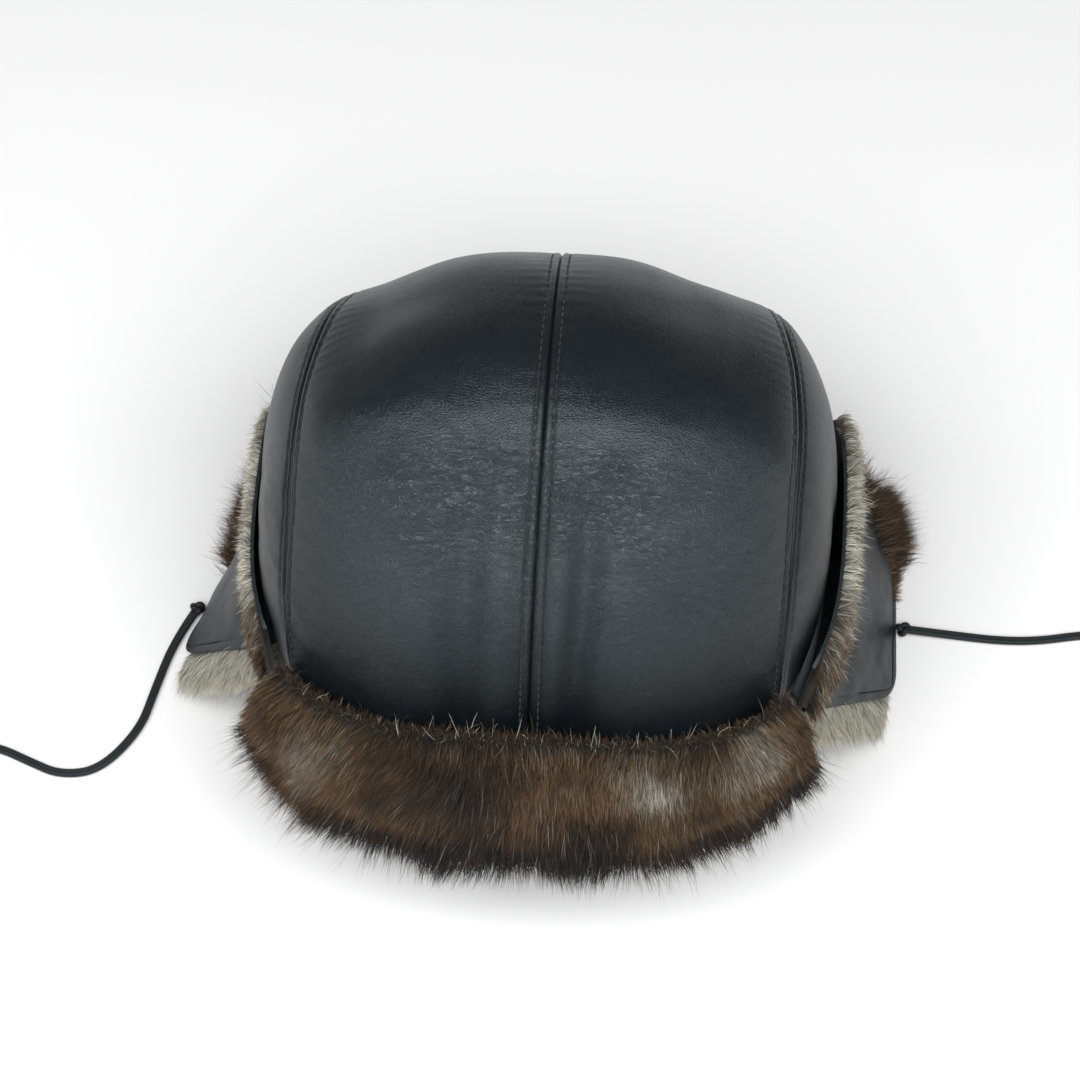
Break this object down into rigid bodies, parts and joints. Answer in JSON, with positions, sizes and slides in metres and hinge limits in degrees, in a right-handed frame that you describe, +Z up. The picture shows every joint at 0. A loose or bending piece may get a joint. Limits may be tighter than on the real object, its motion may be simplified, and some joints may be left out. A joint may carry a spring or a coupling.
{
  "type": "trapper hat",
  "caption": "Leather crown with a turned-up fur visor, a turned-up fur cuff and hanging fur-lined ear flaps with tie cords.",
  "frame": {"origin": "on the table, under the middle of the hat's outline, cords left out", "axes": "+Z up, the wearer looks along -Y, +X towards the wearer's left ear and to the right of someone who faces the hat's front"},
  "size_m": [0.5121, 0.2298, 0.189],
  "materials": {
    "crown_leather": "soft grained nappa, semi-matt",
    "flap_leather": "smooth nappa, semi-matt",
    "fur_brown": "long guard hairs over dense underfur",
    "fur_pale": "short dense underfur",
    "lining": "quilted satin",
    "wadding": "needled polyester wadding",
    "tape": "woven cotton tape",
    "sweatband": "smooth sheepskin",
    "label": "woven label, blank",
    "cord_leather": "flat leather lace"
  },
  "bodies": {
    "crown": {"crown_panel_left_side": "crown_leather", "crown_panel_left_centre": "crown_leather", "crown_panel_right_centre": "crown_leather", "crown_panel_right_side": "crown_leather", "crown_lining_left": "lining", "seam_tape_left": "tape", "crown_wadding_left": "wadding", "crown_lining_centre": "lining", "seam_tape_centre": "tape", "crown_wadding_centre": "wadding", "crown_lining_right": "lining", "seam_tape_right": "tape", "crown_wadding_right": "wadding", "sweatband": "sweatband", "rim_binding": "tape", "size_label": "label", "side_cuff_leather_left": "flap_leather", "side_cuff_fur_left": "fur_brown", "side_cuff_leather_right": "flap_leather", "side_cuff_fur_right": "fur_brown"},
    "visor": {"visor_backing": "flap_leather", "visor_stiffener": "tape", "visor_fur": "fur_brown"},
    "nape_cuff": {"nape_cuff_leather": "flap_leather", "nape_cuff_fur": "fur_brown"},
    "ear_flap_left": {"ear_flap_leather_left": "flap_leather", "ear_flap_interlining_left": "tape", "ear_flap_fur_left": "fur_pale"},
    "tie_left": {"tie_knot_left": "cord_leather", "tie_cord_left": "cord_leather", "tie_coil_left": "cord_leather", "tie_end_knot_left": "cord_leather"},
    "ear_flap_right": {"ear_flap_leather_right": "flap_leather", "ear_flap_interlining_right": "tape", "ear_flap_fur_right": "fur_pale"},
    "tie_right": {"tie_knot_right": "cord_leather", "tie_cord_right": "cord_leather", "tie_coil_right": "cord_leather", "tie_end_knot_right": "cord_leather"}
  },
  "joints": [
    {"name": "visor_fold", "type": "hinge", "parent": "crown", "child": "visor", "pos_m": [0.0023, -0.0899, 0.057], "axis": [1, 0, 0], "range_deg": [0, 100]},
    {"name": "nape_cuff_fold", "type": "hinge", "parent": "crown", "child": "nape_cuff", "pos_m": [0.0023, 0.1081, 0.061], "axis": [-1, 0, 0], "range_deg": [0, 110]},
    {"name": "ear_flap_fold_left", "type": "hinge", "parent": "crown", "child": "ear_flap_left", "pos_m": [-0.1097, 0.0091, 0.06], "axis": [0, 1, 0], "range_deg": [0, 130]},
    {"name": "tie_swing_left", "type": "hinge", "parent": "ear_flap_left", "child": "tie_left", "pos_m": [-0.1251, 0.0026, -0.004], "axis": [0, 1, 0], "range_deg": [-215.5, 1]},
    {"name": "ear_flap_fold_right", "type": "hinge", "parent": "crown", "child": "ear_flap_right", "pos_m": [0.1143, 0.0091, 0.06], "axis": [0, -1, 0], "range_deg": [0, 130]},
    {"name": "tie_swing_right", "type": "hinge", "parent": "ear_flap_right", "child": "tie_right", "pos_m": [0.1323, 0.013, -0.004], "axis": [0, -1, 0], "range_deg": [-215.5, 1]}
  ],
  "couplings": [
    {"joint": "tie_swing_left", "follows": "ear_flap_fold_left", "ratio": -1.65},
    {"joint": "tie_swing_right", "follows": "ear_flap_fold_right", "ratio": -1.65}
  ]
}
